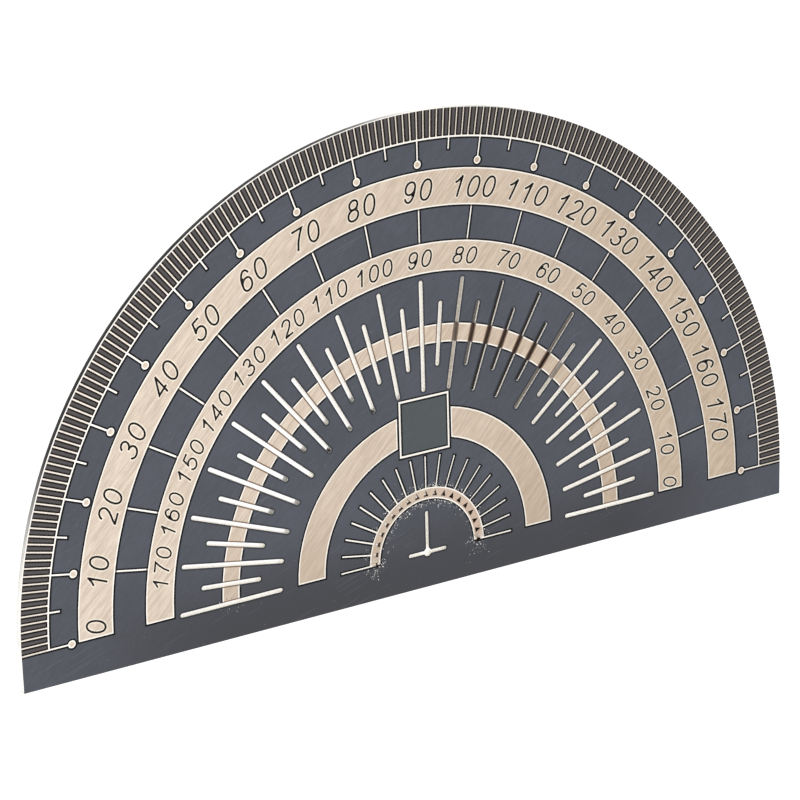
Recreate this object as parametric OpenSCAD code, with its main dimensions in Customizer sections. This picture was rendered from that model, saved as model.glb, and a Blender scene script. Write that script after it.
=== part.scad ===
// Semicircular protractor: one laser-cut stainless plate with a thin dark coating.
// The coating is removed where the steel shows: tick marks, number bands, arcs and frame.
// Lengths are in millimetres. The scale centre is the origin, the 90 degree mark is on +Y,
// the back face rests on Z = 0 and the graduated face looks up.

/* [Plate] */
// Radius of the round outer edge
plate_radius = 100; // [95:0.5:110]
// Depth of the plain strip below the 0-180 line
strip_depth = 8.2; // [6:0.1:15]
// Thickness of the steel
plate_thickness = 1.8; // [1:0.1:3]
// Thickness of the coating film
film_thickness = 0.08; // [0.05:0.01:0.2]

/* [Edge scale] */
// Mean radius of the thin circle that closes the one degree marks
rim_circle_radius = 93.7; // [93:0.1:94.5]
// Width of the engraved lines
line_width = 0.4; // [0.3:0.02:0.7]
// Width of the one degree marks
tick_width = 0.36; // [0.26:0.02:0.5]
// Inner end of the five degree marks
five_mark_radius = 91; // [90:0.1:92]
// Radius of the ring of dots that ends the ten degree marks
dot_ring_radius = 88.4; // [88.2:0.1:89]
// Diameter of each dot
dot_diameter = 1.8; // [1.2:0.1:2]

/* [Number bands] */
// Outer radius of the outer number band
outer_band_outer = 86.8; // [86:0.1:87.2]
// Inner radius of the outer number band
outer_band_inner = 78.6; // [77.5:0.1:79.5]
// Outer radius of the inner number band
inner_band_outer = 70.8; // [70:0.1:72]
// Inner radius of the inner number band
inner_band_inner = 64.1; // [63.6:0.1:65]

/* [Drawing slots] */
// Width of every slot, to suit a scriber or a fine pencil
slot_width = 0.85; // [0.7:0.05:1.4]
// Width of the bare steel rim that the cutting beam leaves round each slot
slot_rim = 0.06; // [0.05:0.01:0.2]
// Outer end of the long slots, one for each ten degrees
long_slot_outer = 62.6; // [60:0.1:63]
// Inner end of the long slots
long_slot_inner = 37.5; // [37:0.1:42]
// Outer end of the short slots, one for each odd five degrees
short_slot_outer = 57.4; // [54:0.1:59]
// Inner end of the short slots
short_slot_inner = 42.9; // [41:0.1:46]

/* [Bright arcs] */
// Outer radius of the thin arc that crosses the slots
thin_arc_outer = 52.3; // [51:0.1:53]
// Inner radius of the thin arc that crosses the slots
thin_arc_inner = 48.1; // [47:0.1:49]
// Outer radius of the wide arc
wide_arc_outer = 33.4; // [32:0.1:35]
// Inner radius of the wide arc
wide_arc_inner = 26.5; // [25:0.1:28]
// Outside size of the square frame
frame_size = 13.1; // [12:0.1:14]
// Width of the frame line
frame_line = 0.5; // [0.4:0.05:1]
// Height of the frame centre above the scale centre
frame_height = 29.8; // [29.8:0.1:30.2]
// Coated line left between the frame and the ends of the wide arc
frame_gap = 0.45; // [0.2:0.05:0.6]

/* [Centre marks] */
// Outer radius of the small centre band
centre_band_outer = 15.1; // [14.7:0.1:16]
// Inner radius of the small centre band
centre_band_inner = 12.4; // [12:0.1:12.8]
// Outer end of the centre lines
centre_line_radius = 22.5; // [20:0.1:22.8]
// Width of the centre lines
centre_line_width = 0.36; // [0.3:0.02:0.5]
// Radius of the triangle tips
triangle_tip_radius = 14.4; // [14.1:0.1:14.5]
// Radius of the triangle bases
triangle_base_radius = 13.1; // [13:0.1:13.3]
// Width of the triangle bases
triangle_width = 1.2; // [0.9:0.1:1.4]
// Width of the two centre slots
centre_slot_width = 0.7; // [0.5:0.05:1.2]
// Upper end of the upright centre slot
upright_slot_end = 9.6; // [8:0.1:11]
// Half length of the level centre slot
level_slot_end = 4.9; // [4:0.1:6]
// Diameter of the hole at the scale centre
centre_hole_diameter = 1.8; // [1.4:0.1:3]

/* [Numerals] */
// Height of the outer digits between stroke centres
outer_digit_height = 4.4; // [4:0.1:5]
// Width of the outer digits between stroke centres
outer_digit_width = 2.6; // [2:0.1:2.8]
// Stroke width of the outer digits
outer_digit_stroke = 0.42; // [0.3:0.02:0.5]
// Distance between the outer digits
outer_digit_pitch = 4.1; // [3.7:0.1:4.3]
// Radius of the middle of the outer numerals
outer_digit_radius = 82.6; // [82.3:0.1:83]
// Height of the inner digits between stroke centres
inner_digit_height = 3.5; // [3:0.1:4]
// Width of the inner digits between stroke centres
inner_digit_width = 2.2; // [1.7:0.1:2.3]
// Stroke width of the inner digits
inner_digit_stroke = 0.36; // [0.26:0.02:0.4]
// Distance between the inner digits
inner_digit_pitch = 3.5; // [3.1:0.1:3.6]
// Radius of the middle of the inner numerals
inner_digit_radius = 67.4; // [67:0.1:68]
// Forward lean of the digits in degrees
digit_lean = 12; // [0:1:16]
// Height of the single 0 at the end of the outer band above the 0-180 line
outer_zero_offset = 2.5; // [2.3:0.1:3]
// Height of the single 0 at the end of the inner band above the 0-180 line
inner_zero_offset = 1.8; // [1.8:0.1:2.5]

/* [Hidden] */
film_base = plate_thickness;
rim_circle_outer = rim_circle_radius + line_width / 2;
rim_circle_inner = rim_circle_radius - line_width / 2;
cut_margin = 1;
outer_digit_size = [outer_digit_width, outer_digit_height];
inner_digit_size = [inner_digit_width, inner_digit_height];

// Colours of the bare steel, the coating and the inked strokes
steel_colour = [0.82, 0.74, 0.66];
coating_colour = [0.29, 0.30, 0.34];
panel_colour = [0.29, 0.34, 0.35];
numeral_colour = [0.20, 0.20, 0.20];

// Point on the scale: angle 0 is at the left end and 180 at the right end
function on_scale(radius, angle) = [-radius * cos(angle), radius * sin(angle)];

// Moves its children to a scale angle, with their +X axis pointing outwards
module at_angle(angle) {
    rotate([0, 0, 180 - angle]) children();
}

// Keeps only what lies above the given height
module above(height) {
    intersection() {
        children();
        translate([-plate_radius - cut_margin, height])
            square([2 * plate_radius + 2 * cut_margin, plate_radius + 2 * cut_margin]);
    }
}

module ring(outer, inner) {
    difference() {
        circle(r = outer, $fn = 360);
        circle(r = inner, $fn = 360);
    }
}

module half_ring(outer, inner) {
    above(0) ring(outer, inner);
}

// Straight mark along the radius from one radius to another
module radial_mark(from, to, width) {
    translate([from, -width / 2]) square([to - from, width]);
}

// Slot with round ends along the radius
module radial_slot(from, to, width) {
    radial_mark(from + width / 2, to - width / 2, width);
    translate([from + width / 2, 0]) circle(d = width, $fn = 32);
    translate([to - width / 2, 0]) circle(d = width, $fn = 32);
}

module plate_outline() {
    above(0) circle(r = plate_radius, $fn = 360);
    translate([-plate_radius, -strip_depth]) square([2 * plate_radius, strip_depth]);
}

// The rim is extra room round the cut, as wide as the steel left bare there
module drawing_slots(rim = 0) {
    width = slot_width + 2 * rim;
    for (angle = [0 : 10 : 180])
        at_angle(angle) radial_slot(long_slot_inner - rim, long_slot_outer + rim, width);
    for (angle = [5 : 10 : 175])
        at_angle(angle) radial_slot(short_slot_inner - rim, short_slot_outer + rim, width);
}

// Upside-down T of slots with a round hole at the scale centre
module centre_cut(rim = 0) {
    width = centre_slot_width + 2 * rim;
    circle(d = centre_hole_diameter + 2 * rim, $fn = 48);
    rotate([0, 0, 90]) radial_slot(-width / 2, upright_slot_end + rim, width);
    radial_slot(-level_slot_end - rim, level_slot_end + rim, width);
}

module centre_triangles() {
    for (angle = [0 : 10 : 180])
        at_angle(angle)
            polygon([[triangle_base_radius, -triangle_width / 2],
                     [triangle_tip_radius, 0],
                     [triangle_base_radius, triangle_width / 2]]);
}

// Steel bared by the ten and five degree marks inside the rim circle
module long_marks() {
    for (angle = [0 : 10 : 180])
        at_angle(angle) {
            radial_mark(dot_ring_radius, rim_circle_radius, line_width);
            translate([dot_ring_radius, 0]) circle(d = dot_diameter, $fn = 48);
        }
    for (angle = [5 : 10 : 175])
        at_angle(angle) radial_mark(five_mark_radius, rim_circle_radius, line_width);
}

// Sector of the ring between the two number bands that holds the sixteen cells
module cell_sector() {
    reach = 2 * plate_radius;
    polygon([[0, 0],
             on_scale(reach, 10),
             on_scale(reach, 50),
             on_scale(reach, 90),
             on_scale(reach, 130),
             on_scale(reach, 170)]);
}

// Steel bared by the number bands and by the lines between them
module number_bands() {
    half_ring(outer_band_outer, outer_band_inner);
    half_ring(inner_band_outer, inner_band_inner);
    intersection() {
        ring(outer_band_inner + cut_margin, inner_band_outer - cut_margin);
        cell_sector();
    }
    for (angle = [10, 170])
        at_angle(angle) radial_mark(inner_band_outer - cut_margin, outer_band_inner + cut_margin, line_width);
}

module frame_outline(size) {
    translate([-size / 2, frame_height - size / 2]) square(size);
}

module wide_arc() {
    difference() {
        half_ring(wide_arc_outer, wide_arc_inner);
        translate([-frame_size / 2 - frame_gap, 0])
            square([frame_size + 2 * frame_gap, wide_arc_outer + cut_margin]);
    }
}

module centre_scale() {
    half_ring(centre_band_outer, centre_band_inner);
    for (angle = [0 : 10 : 180])
        at_angle(angle)
            radial_mark(centre_band_outer - cut_margin, centre_line_radius, centre_line_width);
}

// Closed loop of points round an ellipse, a little squarer than a true ellipse
function loop_points(centre, reach, count) =
    [for (i = [0 : count - 1])
        let (a = 360 * i / count)
        [centre[0] + reach[0] * sign(cos(a)) * pow(abs(cos(a)), 0.93),
         centre[1] + reach[1] * sign(sin(a)) * pow(abs(sin(a)), 0.93)]];

// Points along part of an ellipse
function bend_points(centre, reach, from, to, count) =
    [for (i = [0 : count])
        let (a = from + (to - from) * i / count)
        [centre[0] + reach[0] * cos(a), centre[1] + reach[1] * sin(a)]];

// Strokes of each digit as lists of points, in a box one wide and one high
function closed_strokes(digit) =
    digit == 0 ? [loop_points([0.5, 0.5], [0.5, 0.5], 24)] :
    digit == 6 ? [loop_points([0.52, 0.31], [0.46, 0.31], 20)] :
    digit == 8 ? [loop_points([0.5, 0.77], [0.40, 0.23], 18),
                  loop_points([0.5, 0.27], [0.48, 0.27], 20)] :
    digit == 9 ? [loop_points([0.48, 0.69], [0.46, 0.31], 20)] :
    [];

function open_strokes(digit) =
    digit == 1 ? [[[0.14, 0.67], [0.33, 0.75], [0.49, 0.85], [0.63, 0.97]],
                  [[0.67, 1.04], [0.67, -0.04]]] :
    digit == 2 ? [concat(bend_points([0.49, 0.72], [0.46, 0.28], 172, -14, 12),
                         [[0.80, 0.48], [0.56, 0.32], [0.26, 0.16], [0.06, 0.01]]),
                  [[0.0, 0.0], [0.98, 0.0]]] :
    digit == 3 ? [bend_points([0.48, 0.76], [0.40, 0.24], 162, -92, 12),
                  bend_points([0.48, 0.26], [0.49, 0.26], 97, -165, 14)] :
    digit == 4 ? [[[1.0, 0.27], [0.0, 0.27], [0.74, 1.0]],
                  [[0.74, 1.03], [0.74, 0.0]]] :
    digit == 5 ? [[[0.92, 1.0], [0.24, 1.0], [0.10, 0.50]],
                  bend_points([0.48, 0.32], [0.50, 0.32], 146, -165, 16)] :
    digit == 6 ? [concat(bend_points([0.53, 0.48], [0.47, 0.52], 35, 180, 14), [[0.06, 0.31]])] :
    digit == 7 ? [[[0.0, 1.0], [1.0, 1.0], [0.72, 0.72], [0.50, 0.38], [0.38, 0.0]]] :
    digit == 9 ? [concat(bend_points([0.47, 0.52], [0.47, 0.52], 215, 360, 14), [[0.94, 0.69]])] :
    [];

// Sizes and leans the points of a stroke, with the middle of the box at the origin
function placed(points, size) =
    [for (p = points)
        [(p[0] - 0.5) * size[0] + (p[1] - 0.5) * size[1] * tan(digit_lean),
         (p[1] - 0.5) * size[1]]];

function direction(from, to) = (to - from) / norm(to - from);

// Point moved sideways from a bend, so that both sides of the stroke stay parallel
function side_point(before, here, after, shift) =
    let (first = direction(before, here),
         second = direction(here, after),
         middle = (first + second) / norm(first + second),
         stretch = 1 / max(0.35, middle[0] * second[0] + middle[1] * second[1]))
    [here[0] - middle[1] * shift * stretch, here[1] + middle[0] * shift * stretch];

// One side of a stroke, its ends cut square
function open_side(points, shift) =
    let (last = len(points) - 1)
    [for (i = [0 : last])
        let (before = i == 0 ? 2 * points[0] - points[1] : points[i - 1],
             after = i == last ? 2 * points[last] - points[last - 1] : points[i + 1])
        side_point(before, points[i], after, shift)];

function closed_side(points, shift) =
    let (count = len(points))
    [for (i = [0 : count - 1])
        side_point(points[(i + count - 1) % count], points[i], points[(i + 1) % count], shift)];

function reversed(points) = [for (i = [len(points) - 1 : -1 : 0]) points[i]];

function counting(from, count) = [for (i = [0 : count - 1]) from + i];

module digit_shape(digit, size, stroke_width) {
    half_stroke = stroke_width / 2;
    for (stroke = closed_strokes(digit)) {
        points = placed(stroke, size);
        count = len(points);
        polygon(concat(closed_side(points, -half_stroke), closed_side(points, half_stroke)),
                [counting(0, count), counting(count, count)]);
    }
    for (stroke = open_strokes(digit)) {
        points = placed(stroke, size);
        polygon(concat(open_side(points, -half_stroke), reversed(open_side(points, half_stroke))));
    }
}

// Digits of a whole number, first digit first
function digits_of(number) =
    number < 10 ? [number] :
    concat(digits_of(floor(number / 10)), [number % 10]);

// A number standing on its scale line with its top pointing outwards
module number_shape(number, angle, radius, size, stroke_width, pitch) {
    digits = digits_of(number);
    for (i = [0 : len(digits) - 1])
        rotate([0, 0, 90 - angle])
            translate([(i - (len(digits) - 1) / 2) * pitch, radius])
                digit_shape(digits[i], size, stroke_width);
}

module film() {
    translate([0, 0, film_base]) linear_extrude(film_thickness) children();
}

module steel_plate() {
    color(steel_colour)
        linear_extrude(plate_thickness)
            difference() {
                plate_outline();
                drawing_slots();
                centre_cut();
                centre_triangles();
            }
}

module main_coating() {
    color(coating_colour)
        film()
            difference() {
                plate_outline();
                above(-line_width / 2) ring(plate_radius + cut_margin, rim_circle_inner);
                long_marks();
                number_bands();
                drawing_slots(slot_rim);
                half_ring(thin_arc_outer, thin_arc_inner);
                wide_arc();
                frame_outline(frame_size);
                centre_scale();
                centre_cut(slot_rim);
                centre_triangles();
            }
}

// One small cell between each pair of one degree marks
module rim_coating_cells() {
    inner_turn = asin(tick_width / 2 / rim_circle_outer);
    outer_turn = asin(tick_width / 2 / plate_radius);
    color(coating_colour)
        film()
            for (angle = [0 : 179])
                polygon([on_scale(rim_circle_outer, angle + inner_turn),
                         on_scale(rim_circle_outer, angle + 1 - inner_turn),
                         on_scale(plate_radius, angle + 1 - outer_turn),
                         on_scale(plate_radius, angle + 0.5),
                         on_scale(plate_radius, angle + outer_turn)]);
}

// One cell between each pair of ten degree lines, between the two number bands
module ring_coating_cells() {
    color(coating_colour)
        film()
            difference() {
                intersection() {
                    ring(outer_band_inner, inner_band_outer);
                    cell_sector();
                }
                for (angle = [10 : 10 : 170])
                    at_angle(angle)
                        radial_mark(inner_band_outer - cut_margin, outer_band_inner + cut_margin, line_width);
            }
}

// Blank coated field inside the square frame
module panel_coating() {
    color(panel_colour)
        film() frame_outline(frame_size - 2 * frame_line);
}

module outer_numerals() {
    color(numeral_colour)
        film() {
            for (number = [10 : 10 : 170])
                number_shape(number, number, outer_digit_radius, outer_digit_size,
                             outer_digit_stroke, outer_digit_pitch);
            number_shape(0, asin(outer_zero_offset / outer_digit_radius), outer_digit_radius,
                         outer_digit_size, outer_digit_stroke, outer_digit_pitch);
        }
}

module inner_numerals() {
    color(numeral_colour)
        film() {
            for (number = [10 : 10 : 170])
                number_shape(number, 180 - number, inner_digit_radius, inner_digit_size,
                             inner_digit_stroke, inner_digit_pitch);
            number_shape(0, 180 - asin(inner_zero_offset / inner_digit_radius), inner_digit_radius,
                         inner_digit_size, inner_digit_stroke, inner_digit_pitch);
        }
}

steel_plate();
main_coating();
rim_coating_cells();
ring_coating_cells();
panel_coating();
outer_numerals();
inner_numerals();
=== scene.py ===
"""Looks of a laser-marked steel protractor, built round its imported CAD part.

Lengths are in millimetres, and MM turns them into Blender's metres. The scale centre is the
origin, the 90 degree line is on +Y, and the graduated face looks up. Scale angles run from 0 at
the left end to 180 at the right end. The sizes are those of the CAD part.
"""

import math
import random

import bmesh
import bpy
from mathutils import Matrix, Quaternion, Vector
from mathutils.bvhtree import BVHTree


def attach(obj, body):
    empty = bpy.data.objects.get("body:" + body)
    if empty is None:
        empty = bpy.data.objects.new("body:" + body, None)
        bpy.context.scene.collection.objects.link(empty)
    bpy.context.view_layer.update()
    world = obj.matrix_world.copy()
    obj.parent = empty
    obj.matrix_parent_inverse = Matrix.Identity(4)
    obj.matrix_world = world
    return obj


MM = 0.001

# Plate
PLATE_RADIUS = 100
PLATE_THICKNESS = 1.8
STRIP_DEPTH = 8.2

# Edge scale
RIM_CIRCLE_RADIUS = 93.7
LINE_WIDTH = 0.4
TICK_WIDTH = 0.36
FIVE_MARK_RADIUS = 91
DOT_RING_RADIUS = 88.4
DOT_DIAMETER = 1.8

# Number bands and arcs, each as its outer and inner radius
OUTER_BAND = (86.8, 78.6)
INNER_BAND = (70.8, 64.1)
THIN_ARC = (52.3, 48.1)
WIDE_ARC = (33.4, 26.5)
CENTRE_BAND = (15.1, 12.4)

# Cuts that go through the plate, slots as their inner and outer ends
SLOT_WIDTH = 0.85
SLOT_RIM = 0.06
LONG_SLOT = (37.5, 62.6)
SHORT_SLOT = (42.9, 57.4)
CENTRE_SLOT_WIDTH = 0.7
UPRIGHT_SLOT_END = 9.6
LEVEL_SLOT_END = 4.9
CENTRE_HOLE_DIAMETER = 1.8

# How far the marks and the cuts reach below the 0-180 line, and how far above it the lines
# between the number bands begin
MARKS_BELOW = 1.0
CUTS_BELOW = 1.2
CELL_LINES_FROM = 6.0

# Square frame and centre marks
FRAME_SIZE = 13.1
FRAME_LINE = 0.5
FRAME_HEIGHT = 29.8
FRAME_GAP = 0.45
CENTRE_LINE_RADIUS = 22.5
CENTRE_LINE_WIDTH = 0.36

# Light margin round the digits
MARGIN_WIDTH = 0.3
MARGIN_HEIGHT = 0.012

# Droplets thrown by the laser. Those that miss the level surface leave nothing.
SPATTER_COUNT = 1150

# Direction of the brushing on the steel, and the way that the slot walls with painted shade face,
# from +X towards +Y
BRUSH_ANGLE = 46
SHADED_WALL_SIDE = 150

# Colours as linear red, green and blue. The pairs are the two ends of a mix.
DARK_STREAKS = ((0.535, 0.447, 0.365), (0.485, 0.375, 0.275))
LIGHT_STREAKS = ((0.655, 0.560, 0.470), (0.640, 0.525, 0.405))
SHADED_STEEL = (0.385, 0.295, 0.215)
PINK_STEEL = (0.66, 0.47, 0.39)
MARGIN_STEEL = (0.93, 0.89, 0.82)
CUT_STEEL = ((0.90, 0.865, 0.80), (0.98, 0.96, 0.92))
# Painted highlight along the top of some slot walls
PAINTED_CREST_HIGHLIGHT = (1.0, 0.98, 0.93)
# Painted shade: duller slot walls that face one way
PAINTED_DULL_WALL = (0.36, 0.31, 0.25)
# Painted shade: the outer edge made duller at the right and along the base
PAINTED_DULL_EDGE = ((0.36, 0.33, 0.29), (0.50, 0.46, 0.41))
# Painted shadow line along the lower part of the outer edge at the left
PAINTED_SHADOW_LINE = (0.008, 0.007, 0.007)
BURNT = (0.13, 0.07, 0.04)
# Slot walls in the thin arc: partly burn, partly painted shade
SCORCH_AND_SHADE_WALL = (0.075, 0.042, 0.028)
# Cuts in the centre band: partly scorch, partly painted shade
SCORCH_AND_SHADE_CENTRE = (0.075, 0.038, 0.026)
# Painted shade at the inner ends of slots
PAINTED_DARK_END = (0.035, 0.028, 0.025)
# Painted shade: near black below the top of slot walls that face one way
PAINTED_DARK_WALL = (0.022, 0.018, 0.016)
NUMERAL_MARGIN = ((0.68, 0.60, 0.50), (0.78, 0.71, 0.61))

# Camera: where it looks, where it stands round that point, and its turn about its own axis
CAMERA_AIM = (-6.12, 36.80, 1.88)
CAMERA_DISTANCE = 695.9
CAMERA_AZIMUTH = 148.02
CAMERA_ELEVATION = 53.36
CAMERA_ROLL = 114.95
CAMERA_LENS = 144.18


class Field:
    """A number that varies over a surface: the output of a node, with arithmetic."""

    def __init__(self, tree, socket):
        self.tree = tree
        self.socket = socket

    def __add__(self, other):
        return combine("ADD", self, other)

    def __sub__(self, other):
        return combine("SUBTRACT", self, other)

    def __rsub__(self, other):
        return combine("SUBTRACT", other, self)

    def __mul__(self, other):
        return combine("MULTIPLY", self, other)

    def __truediv__(self, other):
        return combine("DIVIDE", self, other)

    def __abs__(self):
        return combine("ABSOLUTE", self)

    def __neg__(self):
        return combine("MULTIPLY", self, -1.0)


def tree_of(values):
    return next(value.tree for value in values if isinstance(value, Field))


def connect(value, socket):
    """Gives a node's input a Field or a plain value."""
    if isinstance(value, Field):
        value.tree.links.new(value.socket, socket)
    else:
        socket.default_value = value


def combine(operation, *values):
    """One Math node. Each value is a Field or a number."""
    tree = tree_of(values)
    node = tree.nodes.new("ShaderNodeMath")
    node.operation = operation
    for value, socket in zip(values, node.inputs):
        connect(value, socket)
    return Field(tree, node.outputs[0])


def largest(first, *others):
    for other in others:
        first = combine("MAXIMUM", first, other)
    return first


def smallest(first, *others):
    for other in others:
        first = combine("MINIMUM", first, other)
    return first


def rise(field, low, high, start=0.0, end=1.0):
    """Goes smoothly from start to end while the field goes from low to high."""
    node = field.tree.nodes.new("ShaderNodeMapRange")
    node.interpolation_type = "SMOOTHSTEP"
    connect(field, node.inputs["Value"])
    node.inputs["From Min"].default_value = low
    node.inputs["From Max"].default_value = high
    node.inputs["To Min"].default_value = start
    node.inputs["To Max"].default_value = end
    return Field(field.tree, node.outputs[0])


def fall(field, low, high):
    """Goes smoothly from one to zero while the field goes from low to high."""
    return rise(field, low, high, 1.0, 0.0)


def between(field, start, full, last, end):
    """One from full to last, and zero before start and after end."""
    return rise(field, start, full) * fall(field, last, end)


def vector(x, y, z):
    tree = tree_of((x, y, z))
    node = tree.nodes.new("ShaderNodeCombineXYZ")
    for value, socket in zip((x, y, z), node.inputs):
        connect(value, socket)
    return Field(tree, node.outputs[0])


def noise(position, scale=1.0, detail=2.0, roughness=0.5):
    node = position.tree.nodes.new("ShaderNodeTexNoise")
    connect(position, node.inputs["Vector"])
    node.inputs["Scale"].default_value = scale
    node.inputs["Detail"].default_value = detail
    node.inputs["Roughness"].default_value = roughness
    return Field(position.tree, node.outputs[0])


def specks(position, scale, size):
    """One where a random point of a grid is near, falling to zero at that distance from it."""
    node = position.tree.nodes.new("ShaderNodeTexVoronoi")
    connect(position, node.inputs["Vector"])
    node.inputs["Scale"].default_value = scale
    return fall(Field(position.tree, node.outputs["Distance"]), size * 0.4, size)


def colour_mix(factor, first, second):
    """Between two colours, each a Field or three linear numbers."""
    node = factor.tree.nodes.new("ShaderNodeMix")
    node.data_type = "RGBA"
    connect(factor, node.inputs[0])
    for colour, socket in zip((first, second), node.inputs[6:8]):
        connect(colour if isinstance(colour, Field) else (*colour, 1.0), socket)
    return Field(factor.tree, node.outputs[2])


def place_mm(tree):
    """Where a point of the surface is, as three Fields in millimetres."""
    coordinates = tree.nodes.new("ShaderNodeTexCoord")
    separate = tree.nodes.new("ShaderNodeSeparateXYZ")
    tree.links.new(coordinates.outputs["Object"], separate.inputs[0])
    return [Field(tree, socket) / MM for socket in separate.outputs]


def folded(radius, angle, step, offset=0.0):
    """Distances along and across the nearest scale line of those that stand step degrees apart."""
    beside = angle - offset
    turn = (beside - combine("ROUND", beside / step) * step) * (math.pi / 180)
    return radius * combine("COSINE", turn), abs(radius * combine("SINE", turn))


def ring(radius, band):
    """Distance from a ring given as its outer and inner radius."""
    outer, inner = band
    return largest(radius - outer, inner - radius)


def bar(line, start, end, width):
    """Distance from a strip with square ends."""
    along, across = line
    return largest(start - along, along - end, across - width / 2)


def capsule(line, start, end, width):
    """Distance from a slot with round ends."""
    along, across = line
    reach = (end - start - width) / 2
    beyond = largest(abs(along - (start + end) / 2) - reach, 0.0)
    return combine("SQRT", beyond * beyond + across * across) - width / 2


def scale_marks_group():
    """Where a point is on the scale. "marks" and "cuts" are distances in millimetres from where the
    steel is bared and from what is cut through it, below zero inside. "starts" is the distance from
    the inner end of the nearest slot, where its cut begins."""
    tree = bpy.data.node_groups.new("scale_marks", "ShaderNodeTree")
    for name in ("marks", "cuts", "starts", "radius", "angle"):
        tree.interface.new_socket(name, in_out="OUTPUT", socket_type="NodeSocketFloat")
    x, y, _ = place_mm(tree)
    radius = combine("SQRT", x * x + y * y)
    angle = combine("ARCTAN2", y, -x) * (180 / math.pi)
    tens = folded(radius, angle, 10)
    fives = folded(radius, angle, 10, 5)
    ones = folded(radius, angle, 1)
    below = -y

    def half_ring(band):
        return largest(ring(radius, band), below)

    rim_circle = largest(abs(radius - RIM_CIRCLE_RADIUS) - LINE_WIDTH / 2, below - LINE_WIDTH / 2)
    edge_marks = smallest(
        bar(tens, DOT_RING_RADIUS, RIM_CIRCLE_RADIUS, LINE_WIDTH),
        bar(fives, FIVE_MARK_RADIUS, RIM_CIRCLE_RADIUS, LINE_WIDTH),
        largest(bar(ones, RIM_CIRCLE_RADIUS, PLATE_RADIUS + 1, TICK_WIDTH), below - LINE_WIDTH / 2),
    )
    from_dot = tens[0] - DOT_RING_RADIUS
    dots = combine("SQRT", from_dot * from_dot + tens[1] * tens[1]) - DOT_DIAMETER / 2
    cell_lines = largest(bar(tens, INNER_BAND[0], OUTER_BAND[1], LINE_WIDTH), CELL_LINES_FROM - y)
    square = largest(abs(x), abs(y - FRAME_HEIGHT)) - (FRAME_SIZE - FRAME_LINE) / 2
    frame_line = abs(square) - FRAME_LINE / 2
    wide_arc = largest(half_ring(WIDE_ARC), FRAME_SIZE / 2 + FRAME_GAP - abs(x))
    centre_lines = bar(tens, CENTRE_BAND[1], CENTRE_LINE_RADIUS, CENTRE_LINE_WIDTH)

    cuts = smallest(
        capsule(tens, *LONG_SLOT, SLOT_WIDTH),
        capsule(fives, *SHORT_SLOT, SLOT_WIDTH),
        capsule((y, abs(x)), -CENTRE_SLOT_WIDTH / 2, UPRIGHT_SLOT_END, CENTRE_SLOT_WIDTH),
        capsule((x, abs(y)), -LEVEL_SLOT_END, LEVEL_SLOT_END, CENTRE_SLOT_WIDTH),
        radius - CENTRE_HOLE_DIAMETER / 2,
    )
    starts = smallest(
        bar(tens, LONG_SLOT[0] - 1, LONG_SLOT[0], SLOT_WIDTH),
        bar(fives, SHORT_SLOT[0] - 1, SHORT_SLOT[0], SLOT_WIDTH),
    )
    lines = largest(smallest(edge_marks, dots, centre_lines), below - MARKS_BELOW)
    marks = smallest(
        half_ring(OUTER_BAND),
        half_ring(INNER_BAND),
        half_ring(THIN_ARC),
        half_ring(CENTRE_BAND),
        wide_arc,
        frame_line,
        rim_circle,
        cell_lines,
        lines,
        largest(cuts - SLOT_RIM, below - CUTS_BELOW),
    )
    output = tree.nodes.new("NodeGroupOutput")
    found = (marks, largest(cuts, below - CUTS_BELOW), starts, radius, angle)
    for field, socket in zip(found, output.inputs):
        connect(field, socket)


def read_scale(tree):
    """The outputs of the scale_marks group as Fields."""
    node = tree.nodes.new("ShaderNodeGroup")
    node.node_tree = bpy.data.node_groups["scale_marks"]
    return {socket.name: Field(tree, socket) for socket in node.outputs}


def new_material(name):
    """An empty node material and its main shader."""
    material = bpy.data.materials.new(name)
    material.use_nodes = True
    shader = material.node_tree.nodes["Principled BSDF"]
    return material, material.node_tree, shader


def bump(height, shader, distance, strength=1.0):
    node = height.tree.nodes.new("ShaderNodeBump")
    connect(height, node.inputs["Height"])
    node.inputs["Distance"].default_value = distance * MM
    node.inputs["Strength"].default_value = strength
    height.tree.links.new(node.outputs[0], shader.inputs["Normal"])


def face_direction(tree):
    """The three parts of the surface's outward direction."""
    geometry = tree.nodes.new("ShaderNodeNewGeometry")
    separate = tree.nodes.new("ShaderNodeSeparateXYZ")
    tree.links.new(geometry.outputs["Normal"], separate.inputs[0])
    return [Field(tree, socket) for socket in separate.outputs]


def brushing(x, y):
    """Fine streaks, soft bands and blotches along the brushing, each about 0.5."""
    turn = math.radians(BRUSH_ANGLE)
    along = x * math.cos(turn) + y * math.sin(turn)
    across = y * math.cos(turn) - x * math.sin(turn)
    fine = noise(vector(along / 7.0, across / 0.32, 3.0), detail=3.0, roughness=0.6)
    bands = noise(vector(along / 16.0, across / 1.1, 8.0), detail=2.0)
    blotches = noise(vector(along / 2.6, across / 0.9, 5.0), detail=3.0, roughness=0.6)
    return fine, bands, blotches


def plain_steel(x, y, scale, brushed):
    """The metal of the face and the back: streaks, warmer to the right, darker near the middle of
    the base and pinker on the right of the centre band."""
    fine, bands, blotches = brushed
    streaks = rise(fine * 0.48 + bands * 0.2 + blotches * 0.32, 0.39, 0.61)
    warmth = rise(blotches * 30.0 + x * 0.16, 0.0, 34.0)
    dark = colour_mix(warmth, *DARK_STREAKS)
    light = colour_mix(warmth, *LIGHT_STREAKS)
    shade = fall(y, 2.0, 26.0) * fall(abs(x), 46.0, 64.0)
    metal = colour_mix(shade * 0.4, colour_mix(streaks, dark, light), SHADED_STEEL)
    in_centre_band = ring(scale["radius"], CENTRE_BAND)
    pink = rise(in_centre_band, -0.1, 0.3, 0.3, 0.0) * rise(scale["angle"], 60.0, 150.0)
    return colour_mix(pink, metal, PINK_STEEL)


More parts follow.
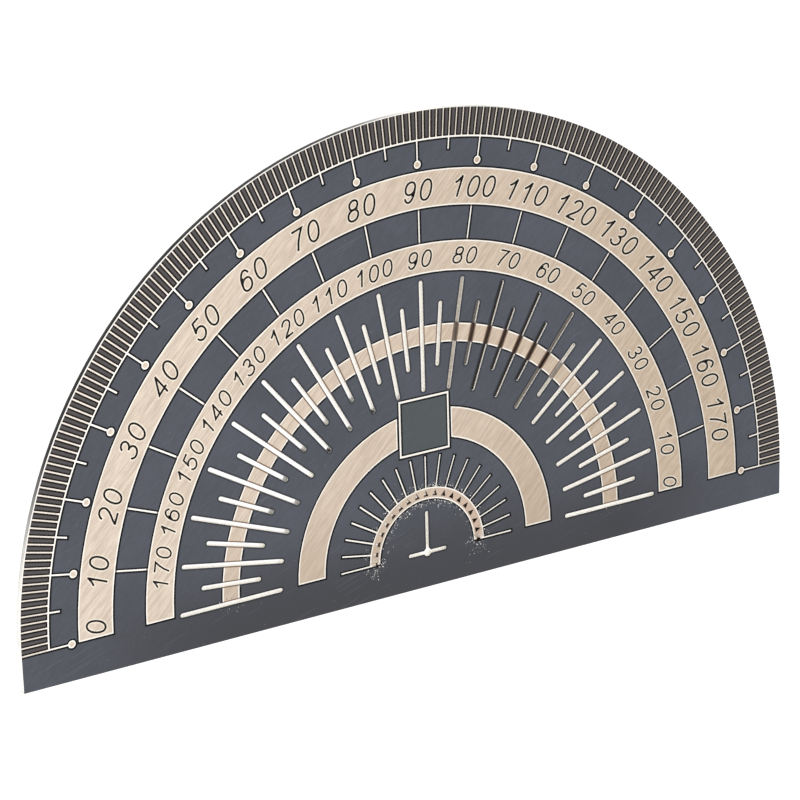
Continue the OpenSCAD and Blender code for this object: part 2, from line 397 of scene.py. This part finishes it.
def marked_steel(metal, scale):
    """The graduated face: a light margin inside each mark, burnt beside the slots in the thin arc
    and at both ends of the lines between the number bands."""
    radius = scale["radius"]
    margin = fall(-scale["marks"], 0.16, 0.42)
    margin = margin * rise(radius, RIM_CIRCLE_RADIUS + 0.2, RIM_CIRCLE_RADIUS + 0.7, 1.0, 0.45)
    face = colour_mix(margin, metal, MARGIN_STEEL)
    beside_slots = fall(ring(radius, THIN_ARC), -0.1, 0.2) * fall(scale["cuts"], 0.22, 0.40)
    ends = (OUTER_BAND[1] - 0.2, INNER_BAND[0] + 0.2)
    line_ends = [fall(abs(radius - end), 0.16, 0.26) for end in ends]
    return colour_mix(largest(beside_slots, *line_ends) * 0.85, face, BURNT)


def cut_walls(place, scale, outward, stripes):
    """The walls of the cuts: bright, with painted shade and a painted highlight on the slot walls
    right of the middle, darker walls in the thin arc there from burn and painted shade, painted shade
    at the inner ends of the slots on the left, and dark centre band cuts from scorch and painted
    shade.
    """
    _, y, z = place
    radius, angle = scale["radius"], scale["angle"]
    wall = colour_mix(rise(stripes, 0.3, 0.7), *CUT_STEEL)
    in_slot = fall(scale["cuts"], 0.3, 0.6) * rise(radius, 30.0, 34.0)
    # Painted shade on the slot walls right of the middle that face one way: duller, and near black
    # below their top.
    side = math.radians(SHADED_WALL_SIDE)
    facing = rise(outward[0] * math.cos(side) + outward[1] * math.sin(side), 0.0, 0.4)
    dull = between(angle + stripes * 8.0, 98.0, 106.0, 135.0, 145.0)
    wall = colour_mix(in_slot * dull * facing * 0.8, wall, PAINTED_DULL_WALL)
    deep = fall(z + stripes * 0.2, 1.45, 1.62)
    painted_deep_shade = between(angle, 101.0, 108.0, 126.0, 136.0) * facing * deep
    wall = colour_mix(in_slot * painted_deep_shade, wall, PAINTED_DARK_WALL)
    # Painted highlight: a bright line along the top of the slot walls right of the middle.
    painted_highlight = rise(z, 1.46, 1.60) * between(angle, 97.0, 104.0, 136.0, 142.0)
    wall = colour_mix(in_slot * painted_highlight, wall, PAINTED_CREST_HIGHLIGHT)
    # The slot walls in the thin arc right of the middle are darker brown: partly the burn of the arc,
    # partly painted shade.
    scorch_and_painted_shade = fall(ring(radius, THIN_ARC), -0.1, 0.2) * between(angle, 96.0, 102.0, 130.0, 140.0)
    wall = colour_mix(in_slot * scorch_and_painted_shade * 0.92, wall, SCORCH_AND_SHADE_WALL)
    # Painted shade: near black, unevenly, at the inner ends of the slots left of the middle.
    uneven = rise(noise(vector(angle / 6.0, 2.0, 7.0), detail=0.0), 0.42, 0.56)
    painted_dark_ends = fall(scale["starts"], 0.05, 0.4) * uneven * between(angle, 15.0, 24.0, 76.0, 84.0)
    wall = colour_mix(in_slot * painted_dark_ends, wall, PAINTED_DARK_END)
    # The cuts in the centre band are dark, partly scorch and partly painted shade, with a painted lit
    # part low on the walls at the left and middle.
    in_hole = fall(ring(radius, CENTRE_BAND), 0.0, 0.3) * rise(y, -2.0, -1.2)
    painted_lit_part = fall(z, 0.8, 1.1) * fall(angle, 95.0, 125.0)
    return colour_mix(in_hole * (-painted_lit_part + 1.0), wall, SCORCH_AND_SHADE_CENTRE)


def outer_edge(wall, place, scale, stripes):
    """Adds to the wall colour a painted shadow line along the lower part of the outer edge at the
    left, and painted shade that makes the edge duller at the right and along the base.
    """
    x, y, z = place
    at_edge = rise(scale["radius"], 98.0, 99.0)
    # Painted shadow line: near black along the lower part of the outer edge at the left.
    dark = fall(z, 1.2, 1.4) * at_edge * between(scale["angle"], 4.0, 26.0, 78.0, 92.0)
    wall = colour_mix(dark, wall, PAINTED_SHADOW_LINE)
    # Painted shade: the outer edge duller at the right and along the base.
    dull = largest(rise(x, 0.0, 30.0) * at_edge, fall(y + STRIP_DEPTH, 0.1, 0.3))
    return colour_mix(dull, wall, colour_mix(stripes, *PAINTED_DULL_EDGE))


def steel_material():
    """Bare brushed steel: warm and marked on the face, cut on the walls and plain on the back."""
    material, tree, shader = new_material("brushed_steel")
    place = place_mm(tree)
    x, y, z = place
    scale = read_scale(tree)
    outward = face_direction(tree)
    brushed = brushing(x, y)
    stripes = noise(vector((x + y * 0.37) / 0.3, (y - x * 0.37) / 0.3, z / 1.5), detail=1.0)
    metal = plain_steel(x, y, scale, brushed)
    wall = outer_edge(cut_walls(place, scale, outward, stripes), place, scale, stripes)
    colour = colour_mix(fall(outward[2], -0.9, -0.5), wall, metal)
    colour = colour_mix(rise(outward[2], 0.5, 0.9), colour, marked_steel(metal, scale))
    connect(colour, shader.inputs["Base Color"])
    shader.inputs["Metallic"].default_value = 1.0
    fine, bands, _ = brushed
    connect(rise(fine * 0.5 + bands * 0.5, 0.3, 0.7, 0.46, 0.36), shader.inputs["Roughness"])
    bump(fine * 0.6 + bands * 0.4, shader, 0.01, 0.4)
    return material


def film_material(name, base, lighter, edge=(0.0, 0.0, 0.0), shine=0.35, marked=True):
    """The dark coating: grain, smudges, fine scratches, dust and a dark line beside each mark."""
    material, tree, shader = new_material(name)
    x, y, _ = place_mm(tree)
    flat = vector(x, y, 0.0)
    grain = noise(flat, scale=3.6, detail=2.0)
    smudges = noise(flat, scale=0.045, detail=4.0, roughness=0.6)
    fine, _, blotches = brushing(x, y)
    tone = grain * 0.25 + smudges * 0.4 + blotches * 0.2 + fine * 0.15
    colour = colour_mix(rise(tone, 0.40, 0.60), base, lighter)
    middle_strip = fall(y, -6.0, 16.0) * fall(abs(x), 50.0, 105.0)
    colour = colour_mix(middle_strip * 0.8, colour, (0.030, 0.030, 0.036))
    turn = math.radians(18)
    scratch_place = vector(
        (x * math.cos(turn) + y * math.sin(turn)) / 14.0,
        (y * math.cos(turn) - x * math.sin(turn)) / 0.22,
        noise(flat, scale=0.05) * 3.0,
    )
    scratches = rise(noise(scratch_place, detail=0.0), 0.78, 0.84)
    colour = colour_mix(scratches * 0.2, colour, (0.22, 0.23, 0.26))
    dust = specks(flat, 0.42, 0.055)
    colour = colour_mix(dust * 0.5, colour, (0.34, 0.34, 0.35))
    if marked:
        scale = read_scale(tree)
        beside = rise(scale["marks"], 0.23, 0.49, 0.92, 0.0)
        beside = beside * rise(scale["cuts"], 0.5, 0.9, 0.5, 1.0)
        colour = colour_mix(beside, colour, edge)
        connect((-beside + 1.0) * shine, shader.inputs["Specular IOR Level"])
    else:
        shader.inputs["Specular IOR Level"].default_value = shine
    connect(colour, shader.inputs["Base Color"])
    connect(rise(smudges * 0.6 + grain * 0.4, 0.35, 0.65, 0.36, 0.50),
            shader.inputs["Roughness"])
    bump(grain * 0.7 + fine * 0.3, shader, 0.012, 0.35)
    return material


def margin_material():
    """Steel made lighter by the beam, close round each digit."""
    material, tree, shader = new_material("numeral_margin")
    x, y, _ = place_mm(tree)
    fine, bands, _ = brushing(x, y)
    tone = rise(fine * 0.6 + bands * 0.4, 0.35, 0.65)
    connect(colour_mix(tone, *NUMERAL_MARGIN), shader.inputs["Base Color"])
    shader.inputs["Metallic"].default_value = 1.0
    connect(rise(fine, 0.3, 0.7, 0.44, 0.36), shader.inputs["Roughness"])
    return material


def spatter_material():
    """Droplets of steel and ash: some bright, some dull."""
    material, tree, shader = new_material("spatter")
    x, y, z = place_mm(tree)
    kind = noise(vector(x, y, z), scale=2.3, detail=1.0)
    connect(colour_mix(rise(kind, 0.42, 0.58), (0.03, 0.028, 0.028), (0.96, 0.94, 0.90)),
            shader.inputs["Base Color"])
    connect(rise(kind, 0.4, 0.6, 0.6, 0.1), shader.inputs["Metallic"])
    shader.inputs["Roughness"].default_value = 0.5
    return material


def floor_material():
    """Pale paper that gives some light of its own, so that what shows through the slots is white."""
    material, tree, shader = new_material("pale_paper")
    coordinates = tree.nodes.new("ShaderNodeTexCoord")
    fibres = noise(Field(tree, coordinates.outputs["Object"]), scale=180.0, detail=3.0)
    connect(colour_mix(fibres, (0.22, 0.22, 0.22), (0.26, 0.26, 0.26)), shader.inputs["Base Color"])
    shader.inputs["Roughness"].default_value = 0.9
    shader.inputs["Specular IOR Level"].default_value = 0.0
    shader.inputs["Emission Color"].default_value = (1.0, 1.0, 1.0, 1.0)
    shader.inputs["Emission Strength"].default_value = 0.96
    return material


def dress(node, material):
    """Gives a CAD node its material."""
    node.data.materials.clear()
    node.data.materials.append(material)


def soften_edges(node, width, segments):
    """Rounds the sharp edges of a CAD node a little, as on a deburred sheet."""
    weld = node.modifiers.new("joined_faces", "WELD")
    weld.merge_threshold = 0.0005 * MM
    bevel = node.modifiers.new("soft_edges", "BEVEL")
    bevel.width = width * MM
    bevel.segments = segments
    bevel.limit_method = "ANGLE"
    bevel.angle_limit = math.radians(50)
    bevel.use_clamp_overlap = False
    bevel.harden_normals = True


def add_piece(shape, name, material):
    """Makes an object of the plate from a bmesh in metres, and frees the bmesh."""
    mesh = bpy.data.meshes.new(name)
    shape.to_mesh(mesh)
    shape.free()
    mesh.materials.append(material)
    piece = bpy.data.objects.new(name, mesh)
    bpy.context.scene.collection.objects.link(piece)
    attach(piece, "root")
    return piece


def corner_shift(vertex, width):
    """How far a corner of a flat outline moves when both its sides move outwards by the width."""
    sides = [loop for edge in vertex.link_edges if edge.is_boundary for loop in edge.link_loops]
    outward = []
    for loop in sides:
        run = (loop.link_loop_next.vert.co - loop.vert.co).normalized()
        outward.append(Vector((run.y, -run.x, 0.0)))
    middle = (outward[0] + outward[1]).normalized()
    return middle * width / max(0.6, middle.dot(outward[0]))


def make_numeral_margin(node, name, material):
    """A thin closed rim of lighter steel round each digit of a CAD node."""
    shape = bmesh.new()
    shape.from_mesh(node.data)
    bmesh.ops.remove_doubles(shape, verts=shape.verts, dist=0.0005 * MM)
    walls = [face for face in shape.faces if face.normal.z < 0.9]
    bmesh.ops.delete(shape, geom=walls, context="FACES")
    outline = [edge for edge in shape.edges if edge.is_boundary]
    inner = {vertex for edge in outline for vertex in edge.verts}
    shifts = {vertex: corner_shift(vertex, MARGIN_WIDTH * MM) for vertex in inner}
    bottom = PLATE_THICKNESS * MM
    rims = bmesh.new()
    for edge in outline:
        loop = edge.link_loops[0]
        start, end = loop.link_loop_next.vert, loop.vert
        corners = [start.co, end.co, end.co + shifts[end], start.co + shifts[start]]
        rims.faces.new([rims.verts.new((at.x, at.y, bottom + MARGIN_HEIGHT * MM)) for at in corners])
    shape.free()
    bmesh.ops.remove_doubles(rims, verts=rims.verts, dist=0.0005 * MM)
    tops = list(rims.faces)
    under = bmesh.ops.extrude_face_region(rims, geom=tops, use_keep_orig=True)
    for item in under["geom"]:
        if isinstance(item, bmesh.types.BMVert):
            item.co.z = bottom
    bmesh.ops.recalc_face_normals(rims, faces=rims.faces)
    return add_piece(rims, name, material)


def surface_tree(nodes):
    """What a droplet can fall on: the CAD nodes as one search tree."""
    shape = bmesh.new()
    for node in nodes:
        shape.from_mesh(node.data)
    tree = BVHTree.FromBMesh(shape)
    shape.free()
    return tree


def height_under(tree, x, y, reach):
    """Height in millimetres of the level surface at a point, or None over an opening, off the plate
    or where a step is nearer than the reach."""
    heights = []
    for step_x, step_y in ((0, 0), (reach, 0), (-reach, 0), (0, reach), (0, -reach)):
        start = Vector((x + step_x, y + step_y, PLATE_THICKNESS + 5.0)) * MM
        hit = tree.ray_cast(start, Vector((0.0, 0.0, -1.0)))[0]
        if hit is None:
            return None
        heights.append(hit.z / MM)
    return heights[0] if max(heights) - min(heights) < 0.01 else None


def make_spatter(nodes, material):
    """Fine droplets thrown out where the beam was slow: round the centre band and at its two ends,
    and at the two ends of the thin arc."""
    shape = bmesh.new()
    tree = surface_tree(nodes)
    for _ in range(SPATTER_COUNT):
        place = random.random()
        if place < 0.56:
            angle = random.gauss(92.0, 38.0)
            side = random.choice((-1, 1))
            edge = CENTRE_BAND[0] if side > 0 else CENTRE_BAND[1]
            radius = edge + side * (0.1 + abs(random.gauss(0.0, 0.75)))
        elif place < 0.9:
            angle = random.choice((0.0, 180.0)) + random.gauss(0.0, 6.0)
            radius = sum(CENTRE_BAND) / 2 + random.gauss(0.0, 1.3)
        else:
            angle = random.choice((0.0, 180.0)) + random.gauss(0.0, 1.0)
            radius = sum(THIN_ARC) / 2 + random.gauss(0.0, 1.6)
        turn = math.radians(angle)
        size = random.uniform(0.045, 0.09) * random.choice((0.8, 1.0, 1.5))
        x, y = -radius * math.cos(turn), radius * math.sin(turn)
        height = height_under(tree, x, y, size * 1.4)
        if height is not None:
            add_droplet(shape, Vector((x, y, height)), size)
    return add_piece(shape, "laser_spatter", material)


def add_droplet(shape, centre, size):
    """An uneven flattened lump with its lower half in the surface."""
    made = bmesh.ops.create_icosphere(shape, subdivisions=1, radius=size * MM)
    stretch = Vector((random.uniform(0.7, 1.4), random.uniform(0.7, 1.4), random.uniform(0.35, 0.6)))
    for vertex in made["verts"]:
        uneven = random.uniform(0.8, 1.2)
        vertex.co = centre * MM + Vector(a * b for a, b in zip(vertex.co, stretch)) * uneven


def make_floor():
    mesh = bpy.data.meshes.new("floor")
    shape = bmesh.new()
    bmesh.ops.create_grid(shape, x_segments=8, y_segments=8, size=6.0)
    shape.to_mesh(mesh)
    shape.free()
    mesh.materials.append(floor_material())
    floor = bpy.data.objects.new("floor", mesh)
    floor.location.z = -0.05 * MM
    bpy.context.scene.collection.objects.link(floor)


def make_area_light(name, azimuth, elevation, distance, size, power):
    """A soft light that looks at the middle of the plate. Distances and sizes are in metres."""
    lamp = bpy.data.lights.new(name, "AREA")
    lamp.shape = "DISK"
    lamp.size = size
    lamp.energy = power
    light = bpy.data.objects.new(name, lamp)
    away = direction(azimuth, elevation)
    light.location = Vector((0.0, 0.04, 0.0)) + away * distance
    light.rotation_mode = "QUATERNION"
    light.rotation_quaternion = away.to_track_quat("Z", "Y")
    light.visible_camera = False
    bpy.context.scene.collection.objects.link(light)


def direction(azimuth, elevation):
    """Unit vector at an azimuth from +X and a height above the floor, in degrees."""
    turn, height = math.radians(azimuth), math.radians(elevation)
    level = math.cos(height)
    return Vector((math.cos(turn) * level, math.sin(turn) * level, math.sin(height)))


def make_world(strength):
    world = bpy.data.worlds.new("studio")
    world.use_nodes = True
    background = world.node_tree.nodes["Background"]
    background.inputs["Color"].default_value = (1.0, 1.0, 1.0, 1.0)
    background.inputs["Strength"].default_value = strength
    bpy.context.scene.world = world


def make_camera():
    camera = bpy.data.objects.new("camera", bpy.data.cameras.new("camera"))
    camera.data.lens = CAMERA_LENS
    camera.data.clip_start = 0.01
    camera.data.clip_end = 50.0
    back = direction(CAMERA_AZIMUTH, CAMERA_ELEVATION)
    roll = Quaternion((0, 0, 1), math.radians(CAMERA_ROLL))
    camera.location = Vector(CAMERA_AIM) * MM + back * CAMERA_DISTANCE * MM
    camera.rotation_mode = "QUATERNION"
    camera.rotation_quaternion = back.to_track_quat("Z", "Y") @ roll
    bpy.context.scene.collection.objects.link(camera)
    bpy.context.scene.camera = camera


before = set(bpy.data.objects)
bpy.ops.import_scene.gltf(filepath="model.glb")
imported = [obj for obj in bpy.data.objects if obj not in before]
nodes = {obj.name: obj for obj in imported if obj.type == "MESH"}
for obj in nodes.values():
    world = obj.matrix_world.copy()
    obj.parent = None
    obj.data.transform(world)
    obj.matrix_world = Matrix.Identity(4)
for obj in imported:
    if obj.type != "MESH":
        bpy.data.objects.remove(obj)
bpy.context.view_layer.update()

random.seed(31)
scale_marks_group()
slate = film_material(
    "slate_coating", (0.053, 0.059, 0.075), (0.075, 0.082, 0.104), edge=(0.005, 0.005, 0.005)
)
rim_film = film_material(
    "rim_coating", (0.062, 0.053, 0.054), (0.086, 0.073, 0.073), edge=(0.010, 0.008, 0.008)
)
panel_film = film_material(
    "panel_coating", (0.056, 0.067, 0.073), (0.067, 0.078, 0.086), edge=(0.010, 0.011, 0.011)
)
ink = film_material(
    "numeral_coating", (0.005, 0.004, 0.004), (0.011, 0.010, 0.009), shine=0.06, marked=False
)
margin = margin_material()

dress(nodes["steel_plate"], steel_material())
dress(nodes["main_coating"], slate)
dress(nodes["ring_coating_cells"], slate)
dress(nodes["rim_coating_cells"], rim_film)
dress(nodes["panel_coating"], panel_film)
dress(nodes["outer_numerals"], ink)
dress(nodes["inner_numerals"], ink)
make_numeral_margin(nodes["outer_numerals"], "outer_numeral_margins", margin)
make_numeral_margin(nodes["inner_numerals"], "inner_numeral_margins", margin)
make_spatter(list(nodes.values()), spatter_material())
soften_edges(nodes["steel_plate"], width=0.08, segments=2)

make_floor()
make_world(0.92)
make_area_light("mirror_light", azimuth=310, elevation=74, distance=1.2, size=0.7, power=1.6)
make_area_light("key_light", azimuth=200, elevation=50, distance=1.2, size=0.6, power=1.0)
make_camera()
bpy.context.scene.view_settings.view_transform = "Standard"
